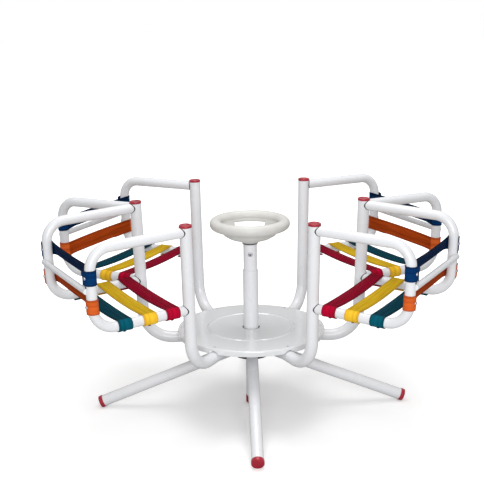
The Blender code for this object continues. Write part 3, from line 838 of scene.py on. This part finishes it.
class Loop:
    """One side loop, fixed to an upright and running out level in the upright's own frame. Its out
    and foot are in that frame, and its up and inward, which points to the upright, are in the world."""

    def __init__(self, seat, kind):
        corner, side, azimuth = SEATS[seat]
        upright = corner if kind == "corner" else side
        turn = azimuth - UPRIGHTS[upright][0]
        self.name = f"loop_{seat}_{kind}"
        self.shares_upright = kind == "side"
        self.frame = upright_frame(upright)
        self.out = Vector((math.cos(turn), math.sin(turn), 0))
        self.foot = Vector((UPRIGHTS[upright][1], 0, 0))
        self.up = self.frame.to_3x3() @ Vector((0, 0, 1))
        self.inward = -(self.frame.to_3x3() @ self.out)

    def corners(self):
        """Corners of the tube's axis, from the armrest to the rail."""
        ends = ((0, ARMREST_RISE), (LOOP_REACH, ARMREST_RISE), (LOOP_REACH, RAIL_RISE), (0, RAIL_RISE))
        return [self.frame @ (self.foot + self.out * along + Vector((0, 0, rise)))
                for along, rise in ends]

    def slide_to_wall(self, verts, wall):
        """Move vertices along the tube until they lie on a cylinder round the upright."""
        for vert in verts:
            local = self.frame.inverted() @ vert.co
            offset = local - self.foot
            offset.z = 0
            aside = offset - self.out * offset.dot(self.out)
            reach = math.sqrt(wall ** 2 - aside.length_squared)
            moved = self.foot + aside + self.out * reach
            vert.co = self.frame @ Vector((moved.x, moved.y, local.z))

    def mitre(self, work):
        """Cut away what passes the plane between two loops on the same upright."""
        if self.shares_upright:
            side = 1 if self.out.y > 0 else -1
            bmesh.ops.bisect_plane(work, geom=work.verts[:] + work.edges[:] + work.faces[:],
                                   plane_co=self.frame @ Vector((0, side * MITRE_GAP / 2, 0)),
                                   plane_no=self.frame.to_3x3() @ Vector((0, -side, 0)),
                                   clear_outer=True)

    def outer_axis(self, rise):
        """Point on the outer post's axis at a rise, and the tube's radius in the level plane there."""
        inward, slope = 0.0, 0.0
        for past, die in ((RAIL_RISE + LOOP_LOW_BEND - rise, LOOP_LOW_BEND),
                          (rise - ARMREST_RISE + LOOP_TOP_BEND, LOOP_TOP_BEND)):
            if past > 0:
                slope = math.asin(past / die)
                inward = die * (1 - math.cos(slope))
        point = self.foot + self.out * (LOOP_REACH - inward) + Vector((0, 0, rise))
        return self.frame @ point, LOOP_RADIUS / math.cos(slope)

    def rail_axis(self, along):
        """Point on the seat rail's axis at a distance from the upright's axis."""
        return self.frame @ (self.foot + self.out * along + Vector((0, 0, RAIL_RISE)))


print("seats:", ", ".join(SEATS))

# %% [markdown]
# Each loop is screwed to its upright with a black saddle washer at both ends. The washers' black is
# also painted shadow for the dark gap at each joint. A washer is a round disc, extruded and then bent
# to the upright's wall by the same slide. All sixteen are one piece, because nobody takes them apart.

# %% Eight loops and their washers
SADDLE_THICK = 0.0018
SADDLE_RADIUS = 0.0166
SADDLE_PRESS = 0.0002


def saddle(work, loop, rise):
    """Thin washer between a tube's end and the upright, bent to the upright's wall."""
    start = loop.frame @ (loop.foot + loop.out * UPRIGHT_RADIUS + Vector((0, 0, rise)))
    inner = bmesh.ops.create_circle(work, radius=SADDLE_RADIUS, segments=TUBE_SIDES, cap_ends=True,
                                    matrix=facing_place(start, -loop.inward))["verts"]
    faces = list({face for vert in inner for face in vert.link_faces})
    made = bmesh.ops.extrude_face_region(work, geom=faces)
    outer = new_parts(made["geom"], bmesh.types.BMVert)
    loop.slide_to_wall(inner, UPRIGHT_RADIUS - SADDLE_PRESS)
    loop.slide_to_wall(outer, UPRIGHT_RADIUS + SADDLE_THICK)


LOOPS = {(seat, kind): Loop(seat, kind) for seat in SEATS for kind in KINDS}
washers = bmesh.new()
for loop in LOOPS.values():
    work = bmesh.new()
    ends = bent_tube(work, loop.corners(), [LOOP_TOP_BEND, LOOP_LOW_BEND], LOOP_RADIUS)
    for ring in ends:
        loop.slide_to_wall(ring, UPRIGHT_RADIUS + SADDLE_THICK)
    loop.mitre(work)
    finish_piece(work, f"bent_{loop.name}", "white_paint", "turning_frame", loop.name)
    for rise in (ARMREST_RISE, RAIL_RISE):
        saddle(washers, loop, rise)
finish_piece(washers, "saddle_washers", "black_hub", "turning_frame")

# %% [markdown]
# A crossbar joins the two outer posts behind each seat. It is a thinner tube of the same coat, seated
# on the posts' outer side, so its ends run into the posts' walls and only their outer halves show.
# Each end is closed by a flat plug with a rounded rim.

# %% Crossbars
CROSSBAR_RADIUS = 0.0095
CROSSBAR_RISE = 0.328
CROSSBAR_OFFSET = 0.0145
PLUG_ROUND = 0.0015
PLUG_DEPTH = 0.006

plug = rounded([(CROSSBAR_RADIUS, 0, 0), (CROSSBAR_RADIUS, PLUG_DEPTH, PLUG_ROUND), (0, PLUG_DEPTH, 0)])
for seat in SEATS:
    pair = [LOOPS[seat, kind] for kind in KINDS]
    first, second = [loop.outer_axis(CROSSBAR_RISE)[0] - loop.inward * CROSSBAR_OFFSET
                     for loop in pair]
    across = (second - first).normalized()
    work = bmesh.new()
    bent_tube(work, [first + across * PLUG_DEPTH, second - across * PLUG_DEPTH], [], CROSSBAR_RADIUS)
    for point, outwards in ((first, -across), (second, across)):
        turned(work, plug, facing_place(point - outwards * PLUG_DEPTH, outwards), TUBE_SIDES)
    finish_piece(work, f"rear_bar_{seat}", "white_paint", "turning_frame", f"crossbar_{seat}")

# %% [markdown]
# Screws are small but they prove how the thing is held together. One head is turned with a domed
# top and a six-sided socket: the socket's rim and the head's inner circle are joined by bridging two
# loops with different numbers of edges. Many heads go into one mesh for each finish. The first ones
# sit in the plate over each tube and above each end of a crossbar, and one bolt goes through the
# post below the wheel.

# %% Screws and post bolt
SCREW_STEPS = 24
HEAD_SINK = 0.0008
SIDE_SHARE = 0.25
SHOULDER_WIDTH = 0.92
SHOULDER_HEIGHT = 0.6
SHOULDER_ROUND = 0.0006
CROWN_SHARE = 0.55
SOCKET_SHARE = 0.72
SOCKET_DEPTH = 0.7
STRAP_SCREW = (0.0053, 0.0026)
PLATE_SCREW = (0.0042, 0.0012)
PLATE_SCREW_REACH = 0.232
BAR_SCREW = (0.0030, 0.0016)
BAR_SCREW_LIFT = 0.0130
POST_BOLT = (0.0078, 0.0034)
POST_BOLT_HEIGHT = 0.5304
POST_BOLT_PRESS = 0.0006


def socket_screw(work, place, size):
    """Domed head of a (radius, height) with a hexagon socket, standing on its place's z = 0."""
    radius, height = size
    before = set(work.verts)
    crown = radius * CROWN_SHARE
    dome = rounded([(radius, -HEAD_SINK, 0), (radius, height * SIDE_SHARE, 0),
                    (radius * SHOULDER_WIDTH, height * SHOULDER_HEIGHT, SHOULDER_ROUND),
                    (crown, height, 0)], 3)
    rim = turned(work, dome, None, SCREW_STEPS)
    top = max(vert.co.z for vert in rim)
    inner = [edge for edge in work.edges if edge.is_boundary
             and all(vert not in before and vert.co.z > top - MERGE_DISTANCE for vert in edge.verts)]
    socket = bmesh.ops.create_circle(work, radius=crown * SOCKET_SHARE, segments=6,
                                     matrix=Matrix.Translation((0, 0, height)))["verts"]
    hexagon = list({edge for vert in socket for edge in vert.link_edges})
    floor = push_on(work, hexagon, Vector((0, 0, -height * SOCKET_DEPTH)))
    bmesh.ops.contextual_create(work, geom=floor)
    bmesh.ops.bridge_loops(work, edges=inner + hexagon)
    bmesh.ops.transform(work, matrix=place, verts=[vert for vert in work.verts if vert not in before])


plate, bars, post = bmesh.new(), bmesh.new(), bmesh.new()
for azimuth, reach in UPRIGHTS.values():
    point = Vector((PLATE_SCREW_REACH * math.cos(azimuth),
                    PLATE_SCREW_REACH * math.sin(azimuth), PLATE_TOP))
    socket_screw(plate, facing_place(point, Vector((0, 0, 1))), PLATE_SCREW)
# The crossbar screws are near black: painted shadow for the dark spot beside each bar's end.
for loop in LOOPS.values():
    outwards = -loop.inward
    point = loop.outer_axis(CROSSBAR_RISE + BAR_SCREW_LIFT)[0] + outwards * LOOP_RADIUS
    socket_screw(bars, facing_place(point, outwards), BAR_SCREW)
for side in (-1, 1):
    point = Vector((0, side * (POST_RADIUS - POST_BOLT_PRESS), POST_BOLT_HEIGHT))
    socket_screw(post, facing_place(point, Vector((0, side, 0))), POST_BOLT)
finish_piece(plate, "plate_screws", "zinc_steel", "turning_frame")
finish_piece(bars, "crossbar_screws", "shade_dark_steel", "turning_frame")
finish_piece(post, "post_bolt", "dull_steel", "base")

# %% [markdown]
# A strap is a band that goes round both tubes. Seen from its edge, its path starts in a short flap
# behind the first tube, goes round it, crosses to the second, goes round that one and ends in a
# second flap. The path is worked out once for each row of the band, and it also says how freely the
# band's edges may drop there: not at all on the tubes, and most in the middle of the span.

# %% Path of a strap
STRAP_THICK = 0.0021
STRAP_CLEAR = 0.0006
FLAP_STEPS = 4
WRAP_STEPS = 12
SPAN_STEPS = 36
FREE_POWER = 0.6


def strap_stations(span, radius, flaps, sag):
    """Path of the band in the plane across it: (length from its middle, point, freedom)."""
    start, end = flaps
    quarter = math.pi / 2
    shares = [step / SPAN_STEPS for step in range(1, SPAN_STEPS)]
    path = [Vector((start * (1 - step / FLAP_STEPS), -radius)) for step in range(FLAP_STEPS)]
    path += arc((0, 0), radius, -quarter, -3 * quarter, WRAP_STEPS)
    path += [Vector((span * share, radius - sag * 4 * share * (1 - share))) for share in shares]
    path += arc((span, 0), radius, quarter, -quarter, WRAP_STEPS)
    path += [Vector((span - end * (step + 1) / FLAP_STEPS, -radius)) for step in range(FLAP_STEPS)]
    held = [0] * (FLAP_STEPS + WRAP_STEPS + 1)
    freedoms = held + [math.sin(math.pi * share) ** FREE_POWER for share in shares] + held
    stations, length = [], -span / 2 - math.pi * radius - start
    for before, point, freedom in zip(path[:1] + path, path, freedoms):
        length += (point - before).length
        stations.append((length, point, freedom))
    return stations


print("stations along a strap:", len(strap_stations(1, LOOP_RADIUS, (0, 0), 0)))

# %% [markdown]
# The band itself starts as what it is, a flat strip cut to length: a fine grid whose UV map is its own
# flat size. It is then laid on the path. Between the tubes a tight band lets its edges drop, so the
# span is a little higher along its middle, with a soft crease along one side, and on the backs the
# lower edge curls up away from the corner post. Solidify gives the band its thickness, more in the
# hems than between them.

# %% Band laid over two tubes
STRAP_ROWS = (-1.0, -0.94, -0.77, -0.74, -0.5, -0.25, 0.0, 0.25, 0.5, 0.74, 0.77, 0.94, 1.0)
STRAP_CROWN = 0.0030
CREASE_START = 0.25
CREASE_DROP = 0.0065
CURL_START = 0.092
CURL_END = 0.120
FLAP_DROOP = 0.0030
HEM_START = 0.75
HEM_SHARE = 0.72
BAND_EDGE = 0.0005
BAND_EDGE_ANGLE = math.radians(50)


def smooth_step(value, low, high):
    """0 below low, 1 above high, and an even curve between them."""
    share = min(max((value - low) / (high - low), 0), 1)
    return share * share * (3 - 2 * share)


def thicken(piece):
    """Give a band its thickness, full in the hems, and soft edges."""
    piece.vertex_groups.new(name="hem")
    solid = piece.modifiers.new("thickness", "SOLIDIFY")
    solid.thickness = STRAP_THICK
    solid.offset = 0
    solid.use_even_offset = True
    solid.vertex_group = "hem"
    edge = piece.modifiers.new("soft edge", "BEVEL")
    edge.width = BAND_EDGE
    edge.segments = 2
    edge.limit_method = "ANGLE"
    edge.angle_limit = BAND_EDGE_ANGLE


def strap(part, seat, colour, row_at, proud, flaps, sag=0, curl=0, edge_side=1):
    """Strap of a seat or a back. row_at gives both tube centres, their radius and the width direction
    for a share of the half width. flaps are the lengths of the two ends behind the tubes, curl lifts
    the lower edge along the span, and edge_side says which edge drops past the crease."""
    laid = []
    for share in STRAP_ROWS:
        first, second, radius, width = row_at(share)
        across = second - first
        span = across.length
        across.normalize()
        normal = (proud - across * proud.dot(across)).normalized()
        middle = radius + STRAP_CLEAR + STRAP_THICK / 2
        laid.append((first, across, normal, width, strap_stations(span, middle, flaps, sag)))
    rows, columns = len(laid), len(laid[0][4])
    work = bmesh.new()
    hems = work.verts.layers.deform.verify()
    bmesh.ops.create_grid(work, x_segments=columns - 1, y_segments=rows - 1, size=1)
    flat = work.loops.layers.uv.new("flat strap")
    cells = {vert: (round((vert.co.x + 1) / 2 * (columns - 1)), round((vert.co.y + 1) / 2 * (rows - 1)))
             for vert in work.verts}
    for vert, (column, row) in cells.items():
        first, across, normal, width, stations = laid[row]
        length, point, freedom = stations[column]
        share = STRAP_ROWS[row]
        crease = CREASE_DROP * max(0, share * edge_side - CREASE_START) / (1 - CREASE_START)
        lower = (STRAP_CROWN * share ** 2 + crease) * freedom
        tail = max(0, FLAP_STEPS - min(column, columns - 1 - column)) / FLAP_STEPS
        curled = smooth_step(point.x, CURL_START, CURL_END) * min(freedom * 2, 1)
        rise = curl * curled * max(0, -share) ** 2
        vert.co = (first + across * point.x + normal * (point.y - lower)
                   + width * (rise - FLAP_DROOP * tail ** 2) + normal * rise / 2)
        vert[hems][0] = 1.0 if abs(share) > HEM_START else HEM_SHARE
    for face in work.faces:
        for corner in face.loops:
            column, row = cells[corner.vert]
            corner[flat].uv = (laid[row][4][column][0], STRAP_ROWS[row] * STRAP_WIDTH / 2)
    thicken(finish_piece(work, f"{part}_band_{seat}_{colour}", f"strap_{colour}", "turning_frame",
                         f"{part}_strap_{seat}_{colour}"))


print("rows across a strap:", len(STRAP_ROWS))

# %% [markdown]
# Each seat has three straps across its rails and two across its outer posts. A screw behind each tube
# holds them, bright on the posts and near black under the rails, where the black is painted shade. The
# crease of a seat's strap lies on the edge nearer the roundabout's front, as the real straps have
# settled.

# %% Twenty straps and their screws
SEAT_STRAPS = {"red": 0.0605, "yellow": 0.1375, "teal": 0.220}
SEAT_FLAP = 0.012
SEAT_SAG = 0.002
LONG_FLAP = 0.018
SHORT_FLAP = 0.005
BACK_STRAPS = {"blue": (0.3690, LONG_FLAP, 0.007), "orange": (0.2810, SHORT_FLAP, 0.003)}


def strap_screw(work, axis_point, outwards):
    """Screw that holds a strap, on the side of a tube that a direction points to."""
    lift = LOOP_RADIUS + STRAP_CLEAR + STRAP_THICK
    socket_screw(work, facing_place(axis_point + outwards * lift, outwards), STRAP_SCREW)


bright, shade_dark_screws = bmesh.new(), bmesh.new()
for seat in SEATS:
    first, second = LOOPS[seat, "corner"], LOOPS[seat, "side"]
    up = ((first.up + second.up) / 2).normalized()
    inward = ((first.inward + second.inward) / 2).normalized()
    edge_side = 1 if first.inward.y > 0 else -1
    for colour, along in SEAT_STRAPS.items():
        def rail_row(share, along=along):
            place = along + share * STRAP_WIDTH / 2
            return first.rail_axis(place), second.rail_axis(place), LOOP_RADIUS, Vector((0, 0, 0))
        strap("seat", seat, colour, rail_row, up, (SEAT_FLAP, SEAT_FLAP), SEAT_SAG,
              edge_side=edge_side)
        # Screws under the rails are near black: painted shade, as they face down into the shadow.
        for loop in (first, second):
            strap_screw(shade_dark_screws, loop.rail_axis(along), -up)
    for colour, (rise, flap, curl) in BACK_STRAPS.items():
        def post_row(share, rise=rise):
            height = rise + share * STRAP_WIDTH / 2
            place, radius = first.outer_axis(height)
            return place, second.outer_axis(height)[0], radius, up
        strap("back", seat, colour, post_row, inward, (flap, SHORT_FLAP), curl=curl)
        for loop in (first, second):
            strap_screw(bright, loop.outer_axis(rise)[0], -inward)
finish_piece(bright, "back_band_screws", "zinc_steel", "turning_frame")
finish_piece(shade_dark_screws, "seat_band_screws", "shade_dark_steel", "turning_frame")
